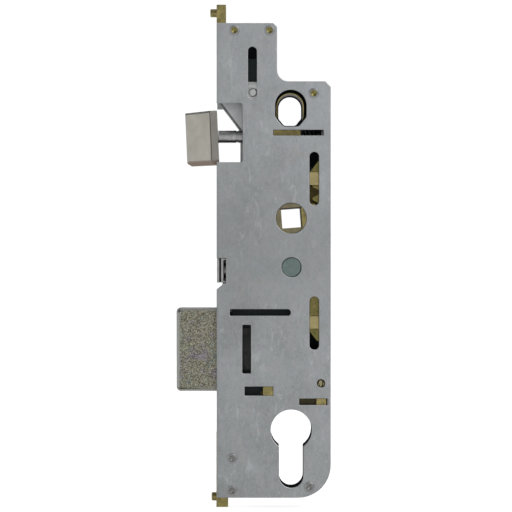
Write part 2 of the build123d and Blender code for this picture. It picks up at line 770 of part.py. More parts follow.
os.makedirs("parts", exist_ok=True)
make_case()
make_posts()
make_clip_nut()
make_follower()
make_drive()
make_springs()
make_latch()
make_deadbolt()
make_key_slide()
print(len(parts_made), "parts written")
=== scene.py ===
"""Looks of a multipoint mortise lock: plated sheet, passivated slides, grained bolt and bright latch.

Metres, in the model's own frame: the spindle axis is the origin, +X runs to the back of the lock,
+Z is up and the cover faces -Y.
"""

import json
import math

import bmesh
import bpy
import numpy as np
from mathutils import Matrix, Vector

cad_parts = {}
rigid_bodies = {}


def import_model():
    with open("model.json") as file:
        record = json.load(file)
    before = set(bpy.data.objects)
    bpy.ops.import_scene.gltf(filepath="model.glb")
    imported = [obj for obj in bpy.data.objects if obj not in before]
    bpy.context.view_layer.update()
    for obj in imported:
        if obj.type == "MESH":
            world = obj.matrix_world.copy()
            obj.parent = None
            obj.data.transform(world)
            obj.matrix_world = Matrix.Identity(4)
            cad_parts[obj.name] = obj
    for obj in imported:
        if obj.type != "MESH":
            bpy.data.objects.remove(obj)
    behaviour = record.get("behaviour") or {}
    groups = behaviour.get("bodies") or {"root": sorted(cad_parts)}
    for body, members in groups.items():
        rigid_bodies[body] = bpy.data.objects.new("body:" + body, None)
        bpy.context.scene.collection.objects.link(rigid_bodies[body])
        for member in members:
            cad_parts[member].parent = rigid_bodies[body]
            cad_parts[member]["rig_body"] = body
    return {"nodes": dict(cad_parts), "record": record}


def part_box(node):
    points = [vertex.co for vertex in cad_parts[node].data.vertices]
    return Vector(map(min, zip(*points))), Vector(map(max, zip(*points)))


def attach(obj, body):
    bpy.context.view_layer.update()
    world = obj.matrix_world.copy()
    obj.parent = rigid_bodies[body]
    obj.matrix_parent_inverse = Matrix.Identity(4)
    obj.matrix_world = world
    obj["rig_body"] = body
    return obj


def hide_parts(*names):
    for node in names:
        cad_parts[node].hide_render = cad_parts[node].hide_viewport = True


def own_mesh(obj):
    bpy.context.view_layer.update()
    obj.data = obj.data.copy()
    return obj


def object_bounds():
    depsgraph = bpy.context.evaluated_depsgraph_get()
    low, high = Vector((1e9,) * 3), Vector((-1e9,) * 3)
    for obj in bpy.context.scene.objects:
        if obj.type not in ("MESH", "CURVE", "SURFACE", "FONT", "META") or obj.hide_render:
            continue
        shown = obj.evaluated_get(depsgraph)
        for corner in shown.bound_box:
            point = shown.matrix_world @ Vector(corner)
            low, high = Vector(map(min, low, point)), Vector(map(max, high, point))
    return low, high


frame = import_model()
cad_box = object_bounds()

MM = 0.001
COVER_FACE_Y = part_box("case_cover")[0].y
BACK_FACE_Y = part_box("case_tray")[1].y
CASE_LOW, CASE_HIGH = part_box("case_tray")
LOWEST_Z = cad_box[0][2]

# The latch head is tilted about its middle, and RIDGE_X is where the line of its ridge meets Z = 0.
HEAD_TILT_DEG = 2.5
HEAD_MIDDLE_Z = 35.8 * MM
RIDGE_X_AT_MIDDLE = -35.0 * MM
HEAD_LEAN = -math.tan(math.radians(HEAD_TILT_DEG))
RIDGE_X = RIDGE_X_AT_MIDDLE - HEAD_MIDDLE_Z * HEAD_LEAN

# The corner gusset's sloping edge, from its upper end to its lower end: unit normal and level.
GUSSET_UPPER_X, GUSSET_UPPER_Z = -29.7 * MM, 48.2 * MM
GUSSET_LOWER_X, GUSSET_LOWER_Z = -22.2 * MM, 38.3 * MM
GUSSET_WIDE = GUSSET_LOWER_X - GUSSET_UPPER_X
GUSSET_TALL = GUSSET_UPPER_Z - GUSSET_LOWER_Z
GUSSET_RUN = GUSSET_WIDE / math.hypot(GUSSET_WIDE, GUSSET_TALL)
GUSSET_RISE = GUSSET_TALL / math.hypot(GUSSET_WIDE, GUSSET_TALL)
GUSSET_LEVEL = GUSSET_UPPER_X * GUSSET_RISE + GUSSET_UPPER_Z * GUSSET_RUN

SHEET_T = 1.5 * MM
FOLLOWER_TILT_DEG = 4.3
SQUARE_HALF = 4.1 * MM
FOLLOWER_BORE_R = 6.6 * MM
POST_DIMPLE_R = 1.5 * MM
POST_HEAD_R = 2.25 * MM
CAMERA_DISTANCE = 0.889


# ---------------------------------------------------------------- meshes

def mesh_piece(name, points, faces, smooth_angle=35):
    """An object at the origin whose faces are smooth except across edges sharper than smooth_angle."""
    mesh = bpy.data.meshes.new(name)
    mesh.from_pydata(points.reshape(-1, 3).tolist(), [], faces)
    mesh.update()
    piece = bpy.data.objects.new(name, mesh)
    bpy.context.scene.collection.objects.link(piece)
    mesh.shade_smooth()
    mesh.set_sharp_from_angle(angle=math.radians(smooth_angle))
    return piece


def ring_faces(rings, around, first=0):
    """Quads between neighbouring closed rings of points, as lists of point numbers counted from first."""
    row = np.arange(rings - 1)[:, None] * around
    col = np.arange(around)[None, :]
    after = (col + 1) % around
    quads = np.stack([row + col, row + after, row + around + after, row + around + col], axis=-1)
    return (quads.reshape(-1, 4) + first).tolist()


def fan_faces(ring_start, around, pole, forward):
    """Triangles from one ring to its pole point, wound forward or backward round the ring."""
    here = np.arange(around)
    after = (here + 1) % around
    pair = [here, after] if forward else [after, here]
    fan = np.stack([pair[0] + ring_start, pair[1] + ring_start, np.full(around, pole)], axis=-1)
    return fan.tolist()


def closed_tube(rings):
    """Points and faces of a tube through rings (n, m, 3), closed by a pole at each end ring's middle."""
    count, around, _ = rings.shape
    poles = rings[[0, -1]].mean(axis=1)
    points = np.concatenate([rings.reshape(-1, 3), poles])
    last = (count - 1) * around
    faces = ring_faces(count, around)
    faces += fan_faces(0, around, count * around, False)
    faces += fan_faces(last, around, count * around + 1, True)
    return points, faces


def outward(piece):
    """Turns every face of a closed piece to point out."""
    shell = bmesh.new()
    shell.from_mesh(piece.data)
    bmesh.ops.recalc_face_normals(shell, faces=shell.faces)
    shell.to_mesh(piece.data)
    shell.free()
    return piece


def frame_across(axis):
    """Two unit vectors square to axis and to each other."""
    axis = np.asarray(axis, float)
    side = np.cross(axis, (0.0, 0.0, 1.0) if abs(axis[2]) < 0.9 else (1.0, 0.0, 0.0))
    side /= np.linalg.norm(side)
    return side, np.cross(axis, side)


def wire_coil(name, start, axis, length, coil_r, wire_r, turns, close_turns=1.0):
    """Round wire on a helix: centre = start + axis * climb(t) + coil_r * (cos, sin)(2 pi t).

    The climb is slow over the closed turns at both ends and even between them. Each ring is
    wire_r * (cos, sin) of a second angle, in the plane square to the helix's tangent.
    """
    t = np.linspace(0, turns, int(turns * 28) + 1)
    knots = [0, close_turns, turns - close_turns, turns]
    closed = 2.1 * wire_r * close_turns
    climb = wire_r + np.interp(t, knots, [0, closed, length - 2 * wire_r - closed, length - 2 * wire_r])
    axis = np.asarray(axis, float)
    side, up = frame_across(axis)
    turn = 2 * np.pi * t[:, None]
    radial = np.cos(turn) * side + np.sin(turn) * up
    centre = np.asarray(start) + climb[:, None] * axis + coil_r * radial
    tangent = np.gradient(centre, axis=0)
    tangent /= np.linalg.norm(tangent, axis=1)[:, None]
    across = np.cross(tangent, radial)
    around = np.linspace(0, 2 * np.pi, 12, endpoint=False)[None, :, None]
    rings = centre[:, None] + wire_r * (np.cos(around) * radial[:, None] + np.sin(around) * across[:, None])
    return outward(mesh_piece(name, *closed_tube(rings)))


def turned_profile(name, centres, profile, around=40):
    """Solids turned about lines along Y: ring k has radius profile[k][0] at depth y = profile[k][1]."""
    angle = np.linspace(0, 2 * np.pi, around, endpoint=False)
    profile = np.asarray(profile)
    rings = np.stack(
        [
            profile[:, :1] * np.cos(angle),
            np.repeat(profile[:, 1:], around, axis=1),
            profile[:, :1] * np.sin(angle),
        ],
        axis=-1,
    )
    one_points, one_faces = closed_tube(rings)
    all_points = []
    all_faces = []
    for number, (x, z) in enumerate(centres):
        all_points.append(one_points + np.array([x, 0, z]))
        shift = number * len(one_points)
        all_faces += [[index + shift for index in face] for face in one_faces]
    return outward(mesh_piece(name, np.concatenate(all_points), all_faces, 40))


def softened(node, width, segments=2):
    """A welded copy of a CAD node with every sharp edge broken by a small round."""
    source = frame["nodes"][node]
    piece = bpy.data.objects.new(node + "_formed", source.data.copy())
    bpy.context.scene.collection.objects.link(piece)
    mesh = piece.data
    if "custom_normal" in mesh.attributes:
        mesh.attributes.remove(mesh.attributes["custom_normal"])
    shell = bmesh.new()
    shell.from_mesh(mesh)
    bmesh.ops.remove_doubles(shell, verts=shell.verts, dist=2e-6)
    shell.to_mesh(mesh)
    shell.free()
    mesh.shade_smooth()
    mesh.set_sharp_from_angle(angle=math.radians(30))
    edge = piece.modifiers.new("broken_edges", "BEVEL")
    edge.width = width
    edge.segments = segments
    edge.limit_method = "ANGLE"
    edge.angle_limit = math.radians(35)
    edge.use_clamp_overlap = False
    edge.harden_normals = True
    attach(piece, source["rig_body"])
    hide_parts(node)
    return piece


# ---------------------------------------------------------------- material nodes

class Finish:
    """A node material under construction: its tree, its shader and the nodes most finishes share."""

    def __init__(self, name):
        self.material = bpy.data.materials.new(name)
        self.material.use_nodes = True
        self.tree = self.material.node_tree
        self.shader = self.tree.nodes["Principled BSDF"]
        self.place = self.add("ShaderNodeTexCoord").outputs["Object"]

    def add(self, kind, inputs=None, **settings):
        """A node of that kind, with its settings, and its inputs either linked or set."""
        node = self.tree.nodes.new(kind)
        for key, value in settings.items():
            setattr(node, key, value)
        for key, value in (inputs or {}).items():
            self.feed(node.inputs[key], value)
        return node

    def feed(self, socket, value):
        """Links a socket to another node's output, or sets its own value."""
        if isinstance(value, bpy.types.NodeSocket):
            self.tree.links.new(value, socket)
        else:
            socket.default_value = value

    def noise(self, scale, detail=4.0, rough=0.55, stretch=(1, 1, 1), shift=(0, 0, 0), warp=0.0):
        """Fractal noise with that many grains a metre, stretched along an axis where stretch is below 1."""
        mapped = self.add("ShaderNodeMapping", {"Vector": self.place, "Scale": stretch, "Location": shift})
        grain = self.add(
            "ShaderNodeTexNoise",
            {
                "Vector": mapped.outputs[0], "Scale": scale, "Detail": detail, "Roughness": rough,
                "Distortion": warp,
            },
        )
        return grain.outputs["Fac"]

    def cells(self, scale):
        """Voronoi cells with that many a metre: the node itself, for its distance and colour."""
        return self.add("ShaderNodeTexVoronoi", {"Vector": self.place, "Scale": scale})

    def ramp(self, value, low, high, to_low=0.0, to_high=1.0):
        """Value's stretch from low to high, spread smoothly over to_low to to_high."""
        spread = self.add(
            "ShaderNodeMapRange",
            {"Value": value, "From Min": low, "From Max": high, "To Min": to_low, "To Max": to_high},
            interpolation_type="SMOOTHSTEP",
        )
        return spread.outputs["Result"]

    def colours(self, value, *stops):
        """A colour ramp through (position, (r, g, b)) stops."""
        ramp = self.add("ShaderNodeValToRGB", {"Fac": value})
        square_edge_shade = ramp.color_ramp
        while len(square_edge_shade.elements) < len(stops):
            square_edge_shade.elements.new(0.5)
        for element, (position, colour) in zip(square_edge_shade.elements, stops):
            element.position = position
            element.color = (*colour, 1)
        return ramp.outputs["Color"]

    def mix(self, amount, first, second, how="MIX"):
        """Second laid over first by amount."""
        blend = self.add("ShaderNodeMix", data_type="RGBA", blend_type=how)
        self.feed(blend.inputs["Factor"], amount)
        colour_in = [socket for socket in blend.inputs if socket.type == "RGBA"]
        self.feed(colour_in[0], (*first, 1) if isinstance(first, tuple) else first)
        self.feed(colour_in[1], (*second, 1) if isinstance(second, tuple) else second)
        return [socket for socket in blend.outputs if socket.type == "RGBA"][0]

    def maths(self, how, first, second=0.0):
        """One sum on two numbers."""
        node = self.add("ShaderNodeMath", operation=how)
        self.feed(node.inputs[0], first)
        self.feed(node.inputs[1], second)
        return node.outputs[0]

    def along(self, axis):
        """The object's own X, Y or Z coordinate."""
        parts = self.add("ShaderNodeSeparateXYZ", {"Vector": self.place})
        return parts.outputs[axis]

    def radius_from(self, x=0.0, z=0.0):
        """Distance from the line along Y through (x, z)."""
        apart = self.add("ShaderNodeVectorMath", {0: self.place, 1: (x, 0, z)}, operation="SUBTRACT")
        flat = self.add("ShaderNodeVectorMath", {0: apart.outputs[0], 1: (1, 0, 1)}, operation="MULTIPLY")
        return self.add("ShaderNodeVectorMath", {0: flat.outputs[0]}, operation="LENGTH").outputs["Value"]

    def relief(self, height, depth, strength=1.0, below=None):
        """A bump of that depth in metres, laid on another bump if given."""
        bump = self.add("ShaderNodeBump", {"Height": height, "Distance": depth, "Strength": strength})
        if below is not None:
            self.feed(bump.inputs["Normal"], below)
        return bump.outputs["Normal"]

    def crevice_shade(self, reach):
        """Painted shade mask from ambient occlusion: 1 in the piece's own corners and slots closer than
        reach, 0 in the open.
        """
        opened = self.add("ShaderNodeAmbientOcclusion", {"Distance": reach}, only_local=True).outputs["AO"]
        return self.ramp(opened, 0.25, 0.85, 1.0, 0.0)

    def wear(self):
        """1 on outer edges that are rubbed bright, 0 elsewhere."""
        pointed = self.add("ShaderNodeNewGeometry").outputs["Pointiness"]
        return self.ramp(pointed, 0.52, 0.6)

    def done(self, colour, metallic, roughness, normal=None):
        """Joins the maps to the shader."""
        self.feed(self.shader.inputs["Base Color"], (*colour, 1) if isinstance(colour, tuple) else colour)
        self.shader.inputs["Metallic"].default_value = metallic
        self.feed(self.shader.inputs["Roughness"], roughness)
        if normal is not None:
            self.feed(self.shader.inputs["Normal"], normal)
        return self.material


def zinc_sheet():
    """Dull zinc on rolled sheet: mottled grey with faint colour casts, pale scuffs and dark specks.

    The case's inner faces are darkened as painted shade, the gusset is lightened as painted light with a
    dark line of painted shade along its fold and a painted highlight on its lip, the rims of the cover's
    openings carry a painted highlight on the side that looks up, back and forward, and the sheet has a
    painted light gradient, paler towards its back and top.
    """
    f = Finish("zinc_sheet")
    clouds = f.noise(60, 5, 0.62, (1, 1, 0.8), warp=0.5)
    mottle = f.noise(420, 5, 0.68, (1, 1, 0.8), (1, 4, 2), 0.6)
    tint = f.noise(150, 4, 0.6, (1, 1, 0.8), (3, 1, 2), 1.0)
    brushing = f.noise(2600, 3, 0.6, (1, 1, 0.06))
    grain = f.noise(2400, 4, 0.75)
    base = f.colours(
        clouds, (0.32, (0.49, 0.50, 0.50)), (0.5, (0.54, 0.555, 0.56)), (0.68, (0.59, 0.605, 0.61))
    )
    hue = f.colours(
        tint,
        (0.30, (0.46, 0.49, 0.53)), (0.44, (0.49, 0.50, 0.49)), (0.56, (0.50, 0.49, 0.52)),
        (0.70, (0.53, 0.51, 0.48)),
    )
    base = f.mix(0.55, base, hue, "OVERLAY")
    blotch = f.colours(
        mottle, (0.34, (0.38, 0.39, 0.38)), (0.5, (0.5, 0.5, 0.5)), (0.66, (0.60, 0.60, 0.61))
    )
    base = f.mix(0.32, base, blotch, "OVERLAY")
    crisp = f.colours(
        f.noise(1300, 3, 0.6, (0.7, 1, 0.45), (4, 4, 1), 1.6),
        (0.36, (0.40, 0.40, 0.40)), (0.5, (0.5, 0.5, 0.5)), (0.64, (0.60, 0.60, 0.60)),
    )
    base = f.mix(0.42, base, crisp, "OVERLAY")
    streaks = f.colours(brushing, (0.3, (0.45, 0.45, 0.45)), (0.7, (0.55, 0.55, 0.55)))
    base = f.mix(0.25, base, streaks, "OVERLAY")
    speck_size = f.ramp(f.cells(900).outputs["Distance"], 0.10, 0.20, 1.0, 0.0)
    speck_patch = f.ramp(f.noise(240, 2, 0.5, shift=(5, 5, 5)), 0.50, 0.62)
    specks = f.maths("MULTIPLY", speck_size, speck_patch)
    base = f.mix(f.maths("MULTIPLY", specks, 0.45), base, (0.27, 0.27, 0.25))
    scuff_lines = f.ramp(f.noise(560, 3, 0.6, (0.6, 1, 0.2), (2, 9, 4), 1.4), 0.58, 0.64)
    scuff_patch = f.ramp(f.noise(70, 3, 0.5, shift=(8, 3, 1)), 0.48, 0.60)
    scuffs = f.maths("MULTIPLY", scuff_lines, scuff_patch)
    base = f.mix(f.maths("MULTIPLY", scuffs, 0.5), base, (0.74, 0.76, 0.77))
    scratch = f.ramp(f.noise(1500, 2, 0.5, (0.05, 1, 1), (6, 2, 8), 0.4), 0.70, 0.76)
    scratches = f.maths("MULTIPLY", scratch, scuff_patch)
    base = f.mix(f.maths("MULTIPLY", scratches, 0.5), base, (0.78, 0.79, 0.79))
    # Painted light: the sheet is paler towards its back and top, and darker towards its front and foot.
    across = f.ramp(f.along("X"), CASE_LOW.x, CASE_HIGH.x, 0.0, 1.0)
    upward = f.ramp(f.along("Z"), CASE_LOW.z, CASE_HIGH.z, 0.0, 1.0)
    lift = f.maths("ADD", f.maths("MULTIPLY", across, 0.5), f.maths("MULTIPLY", upward, 0.5))
    shade = f.colours(lift, (0.0, (0.43, 0.43, 0.42)), (0.5, (0.5, 0.5, 0.495)), (1.0, (0.60, 0.61, 0.615)))
    base = f.mix(0.7, base, shade, "OVERLAY")
    waist = f.ramp(f.maths("ABSOLUTE", f.maths("SUBTRACT", f.along("Z"), -10 * MM)), 0.0, 45 * MM, 1.0, 0.0)
    base = f.mix(f.maths("MULTIPLY", waist, 0.28), base, (0.36, 0.365, 0.365))
    # A darker strip along the sheet's front edge.
    front_edge_strip = f.ramp(f.along("X"), CASE_LOW.x + 0.2 * MM, CASE_LOW.x + 1.3 * MM, 1.0, 0.0)
    base = f.mix(f.maths("MULTIPLY", front_edge_strip, 0.3), base, (0.33, 0.34, 0.32))
    # Painted shade: the case's inner faces are made near-black.
    # This mask goes by place alone, so it darkens the outer side of the edge walls as well.
    inside_y = f.ramp(f.along("Y"), BACK_FACE_Y - 1.46 * MM, BACK_FACE_Y - 1.40 * MM, 1.0, 0.0)
    off_cover = f.ramp(f.along("Y"), COVER_FACE_Y + SHEET_T, COVER_FACE_Y + SHEET_T + 0.1 * MM, 0.0, 1.0)
    off_front = f.ramp(f.along("X"), CASE_LOW.x + 11.0 * MM, CASE_LOW.x + 11.6 * MM, 0.0, 1.0)
    hidden = f.maths("MULTIPLY", f.maths("MULTIPLY", inside_y, off_cover), off_front)
    base = f.mix(f.maths("MULTIPLY", hidden, 0.96), base, (0.035, 0.043, 0.048))
    # Painted light on the gusset: the zone is lightened, with a dark line of painted shade along its sloping
    # fold and a pale line of painted highlight along its lip.
    gusset = f.maths("MULTIPLY", off_cover, f.maths("SUBTRACT", 1.0, off_front))
    slope = f.maths(
        "ADD", f.maths("MULTIPLY", f.along("X"), GUSSET_RISE), f.maths("MULTIPLY", f.along("Z"), GUSSET_RUN)
    )
    from_edge = f.maths("SUBTRACT", slope, GUSSET_LEVEL)
    fold_shade = f.ramp(from_edge, 1.0 * MM, 1.25 * MM, 1.0, 0.0)
    lip_highlight = f.ramp(from_edge, 0.25 * MM, 0.4 * MM, 1.0, 0.0)
    base = f.mix(f.maths("MULTIPLY", gusset, 0.8), base, (0.93, 0.94, 0.93))
    base = f.mix(f.maths("MULTIPLY", gusset, f.maths("MULTIPLY", fold_shade, 0.85)), base, (0.16, 0.165, 0.16))
    base = f.mix(f.maths("MULTIPLY", gusset, f.maths("MULTIPLY", lip_highlight, 0.6)), base, (0.75, 0.75, 0.74))
    # Painted highlight: the rims of the cover's openings are paled on the side that faces a fixed direction
    # up, back and forward.
    near_front = f.ramp(f.along("Y"), COVER_FACE_Y + 0.015 * MM, COVER_FACE_Y + 0.05 * MM)
    near_front = f.maths("MULTIPLY", near_front, f.maths("SUBTRACT", 1.0, off_cover))
    facing = f.add("ShaderNodeNewGeometry").outputs["Normal"]
    lit_side = f.add("ShaderNodeVectorMath", {0: facing, 1: (0.62, -0.45, 0.64)}, operation="DOT_PRODUCT")
    lit_side = f.ramp(lit_side.outputs["Value"], 0.46, 0.70)
    rim = f.maths("MULTIPLY", near_front, lit_side)
    base = f.mix(rim, base, (0.98, 0.98, 0.97))
    rough = f.maths("ADD", f.ramp(clouds, 0.3, 0.7, 0.38, 0.48), f.ramp(mottle, 0.3, 0.7, -0.04, 0.06))
    rough = f.maths("ADD", rough, f.maths("MULTIPLY", hidden, 0.3))
    normal = f.relief(mottle, 0.00003, 0.4)
    normal = f.relief(grain, 0.000014, 0.6, normal)
    normal = f.relief(scuffs, 0.00002, 0.4, normal)
    material = f.done(base, 1.0, rough, normal)
    # Painted highlight: the rims are made less metallic so that their pale colour shows.
    f.feed(f.shader.inputs["Metallic"], f.maths("SUBTRACT", 1.0, f.maths("MULTIPLY", rim, 0.8)))
    return material


def post_head(name, dimple_colour, centres):
    """Rolled post head in plate grey, round a dimple of its own colour, with a dark line of painted shade
    between them and round the head's outer edge.
    """
    f = Finish(name)
    nearest = 1.0
    for x, z in centres:
        nearest = f.maths("MINIMUM", nearest, f.radius_from(x, z))
    mottle = f.noise(900, 4, 0.65, warp=0.6)
    ring = f.colours(mottle, (0.3, (0.40, 0.40, 0.40)), (0.7, (0.60, 0.60, 0.60)))
    dark = tuple(0.5 * c for c in dimple_colour)
    hollow = f.colours(mottle, (0.35, dark), (0.65, dimple_colour))
    base = f.mix(f.ramp(nearest, 1.25 * MM, 1.55 * MM), hollow, ring)
    # Painted shade: dark lines at the dimple's edge and round the head's outer edge.
    dimple_edge_shade = f.ramp(f.maths("ABSOLUTE", f.maths("SUBTRACT", nearest, POST_DIMPLE_R)), 0.0, 0.22 * MM, 1.0, 0.0)
    outer = f.ramp(nearest, POST_HEAD_R - 0.2 * MM, POST_HEAD_R)
    base = f.mix(f.maths("MULTIPLY", f.maths("MAXIMUM", dimple_edge_shade, outer), 0.6), base, (0.14, 0.13, 0.11))
    return f.done(base, 1.0, f.ramp(mottle, 0.3, 0.7, 0.32, 0.45), f.relief(mottle, 0.00003, 0.5))


def gold_maps(f, tone=1.0, deep_y=None, within_r=1.0):
    """Yellow chromate over zinc: gold to olive drifts, a pink cast in places and dull oily patches.

    Past depth deep_y, and nearer than within_r to the spindle axis, it is darkened as painted shade; its own
    corners and slots are darkened as painted shade too.
    Gives the colour, roughness and bump of the finish f.
    """
    drift = f.noise(330, 4, 0.6, warp=0.8)
    fine = f.noise(3000, 3, 0.6)
    oil = f.ramp(f.noise(260, 3, 0.6, shift=(4, 2, 9)), 0.45, 0.65)
    gold = f.colours(
        drift,
        (0.28, tuple(tone * c for c in (0.25, 0.22, 0.09))),
        (0.45, tuple(tone * c for c in (0.43, 0.36, 0.14))),
        (0.58, tuple(tone * c for c in (0.54, 0.45, 0.18))),
        (0.72, tuple(tone * c for c in (0.50, 0.38, 0.20))),
    )
    gold = f.mix(f.maths("MULTIPLY", oil, 0.5), gold, (0.17 * tone, 0.15 * tone, 0.09 * tone))
    # Painted shade in the piece's own corners and slots.
    gold = f.mix(f.maths("MULTIPLY", f.crevice_shade(1.4 * MM), 0.85), gold, (0.05, 0.042, 0.018))
    # Painted shade: past depth deep_y, near the spindle axis, the gold is made near-black.
    if deep_y is not None:
        near = f.ramp(f.radius_from(), within_r - 0.05 * MM, within_r, 1.0, 0.0)
        depth_shade = f.maths("MULTIPLY", near, f.ramp(f.along("Y"), deep_y, deep_y + 0.15 * MM))
        gold = f.mix(f.maths("MULTIPLY", depth_shade, 0.9), gold, (0.045, 0.04, 0.03))
    return gold, f.ramp(fine, 0.3, 0.7, 0.28, 0.46), f.relief(fine, 0.00002, 0.5)


def gold_passivate(name, tone=1.0, deep_y=None, within_r=1.0):
    """Yellow chromate finish of the slides, connectors and posts."""
    f = Finish(name)
    gold, rough, normal = gold_maps(f, tone, deep_y, within_r)
    return f.done(gold, 1.0, rough, normal)


def follower_finish():
    """Passivated follower: gold towards its back and olive grey elsewhere as painted shade, painted shade on
    two inner edges of the square, and painted shade inside its bore.
    """
    low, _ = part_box("follower")
    f = Finish("follower_finish")
    gold, rough, normal = gold_maps(f, 1.0, low.y + 0.15 * MM, 6.5 * MM)
    # Painted shade: the ring is olive grey except towards its back, where the light falls.
    ring = f.ramp(f.radius_from(), FOLLOWER_BORE_R, FOLLOWER_BORE_R + 0.1 * MM, 1.0, 0.0)
    left = f.ramp(f.along("X"), 3.2 * MM, 4.8 * MM, 1.0, 0.0)
    grey = f.mix(f.ramp(f.along("Z"), -2 * MM, 4 * MM), (0.24, 0.235, 0.17), (0.27, 0.235, 0.20))
    shaded_follower = f.mix(f.maths("MULTIPLY", f.maths("MULTIPLY", ring, left), 0.62), gold, grey)
    lean = math.radians(FOLLOWER_TILT_DEG)
    x, z = f.along("X"), f.along("Z")
    u = f.maths("ADD", f.maths("MULTIPLY", x, math.cos(lean)), f.maths("MULTIPLY", z, math.sin(lean)))
    v = f.maths("SUBTRACT", f.maths("MULTIPLY", z, math.cos(lean)), f.maths("MULTIPLY", x, math.sin(lean)))
    # Painted shade on two inner edges of the square.
    for reach, beside in ((u, v), (v, u)):
        square_edge_shade = f.ramp(reach, 4.5 * MM, 4.75 * MM, 1.0, 0.0)
        square_edge_shade = f.maths("MULTIPLY", square_edge_shade, f.maths("GREATER_THAN", reach, SQUARE_HALF))
        square_edge_shade = f.maths("MULTIPLY", square_edge_shade, f.maths("LESS_THAN", f.maths("ABSOLUTE", beside), 4.7 * MM))
        shaded_follower = f.mix(f.maths("MULTIPLY", square_edge_shade, 0.9), shaded_follower, (0.05, 0.045, 0.03))
    return f.done(shaded_follower, 1.0, rough, normal)


def rack_finish():
    """Rack bar: clean gold on the raised tabs; the toothed plate behind is darker as painted shade and
    stained olive and brown.
    """
    low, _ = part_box("rack_bar")
    f = Finish("rack_finish")
    drift = f.noise(520, 4, 0.65, warp=1.2)
    fine = f.noise(3000, 3, 0.6)
    tab = f.colours(drift, (0.3, (0.48, 0.40, 0.18)), (0.7, (0.66, 0.55, 0.28)))
    # Painted shade with stains: the plate behind the tabs is darker than the tabs, and stained olive and
    # brown.
    plate = f.colours(
        drift,
        (0.30, (0.14, 0.14, 0.05)), (0.42, (0.34, 0.31, 0.10)), (0.52, (0.22, 0.19, 0.07)),
        (0.62, (0.44, 0.35, 0.14)), (0.74, (0.20, 0.15, 0.07)),
    )
    raised = f.ramp(f.along("Y"), low.y + 0.15 * MM, low.y + 0.35 * MM, 1.0, 0.0)
    base = f.mix(raised, plate, tab)
    # Painted shade in the piece's own corners and slots.
    base = f.mix(f.maths("MULTIPLY", f.crevice_shade(1.4 * MM), 0.9), base, (0.035, 0.03, 0.012))
    return f.done(base, 1.0, f.ramp(fine, 0.3, 0.7, 0.3, 0.44), f.relief(drift, 0.00006, 0.5))


def sleeve_finish():
    """Gold front edge of the window sleeve, with its inside darkened as painted shade."""
    low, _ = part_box("window_sleeve")
    return gold_passivate("sleeve_finish", 1.0, low.y + 0.12 * MM)


def key_slide_finish():
    """Gold on the tabs that stand in the cover's slots, darkened as painted shade on the plate behind them.
    """
    low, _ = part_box("key_slide")
    return gold_passivate("key_slide_finish", 1.05, low.y + 2.4 * MM)


def grained_bolt():
    """Pressed and plated bolt: sparkling grain with faint colour casts, rubbed pale at the edges."""
    low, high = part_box("deadbolt")
    f = Finish("grained_bolt")
    facets = f.cells(2600)
    finer = f.cells(5200)
    coarse = f.noise(1500, 4, 0.7)
    cast = f.noise(120, 3, 0.6, warp=1.0)
    shine = f.add("ShaderNodeSeparateColor", {"Color": facets.outputs["Color"]}).outputs[0]
    glint = f.add("ShaderNodeSeparateColor", {"Color": finer.outputs["Color"]}).outputs[1]
    base = f.colours(
        shine, (0.0, (0.11, 0.105, 0.10)), (0.5, (0.25, 0.24, 0.225)), (1.0, (0.56, 0.55, 0.50))
    )
    film = f.colours(
        cast,
        (0.30, (0.50, 0.44, 0.58)), (0.43, (0.53, 0.51, 0.44)), (0.52, (0.58, 0.55, 0.38)),
        (0.62, (0.44, 0.53, 0.45)), (0.72, (0.56, 0.44, 0.54)),
    )
    base = f.mix(0.75, base, film, "OVERLAY")
    base = f.mix(f.ramp(glint, 0.84, 0.95, 0.0, 0.75), base, (0.78, 0.77, 0.71))
    side = f.ramp(f.along("X"), low.x + 0.9 * MM, low.x + 1.9 * MM, 1.0, 0.0)
    head = f.ramp(f.along("Z"), high.z - 1.6 * MM, high.z - 0.8 * MM, 0.0, 1.0)
    foot = f.ramp(f.along("Z"), low.z + 0.5 * MM, low.z + 1.2 * MM, 1.0, 0.0)
    rim = f.maths("MAXIMUM", f.maths("MAXIMUM", side, head), foot)
    base = f.mix(f.maths("MULTIPLY", rim, 0.75), base, (0.56, 0.565, 0.55))
    rough = f.ramp(shine, 0.0, 1.0, 0.30, 0.55)
    height = f.maths("ADD", coarse, f.maths("MULTIPLY", shine, 0.5))
    height = f.maths("MULTIPLY", height, f.ramp(rim, 0.0, 1.0, 1.0, 0.2))
    return f.done(base, 1.0, rough, f.relief(height, 0.00006, 0.7))


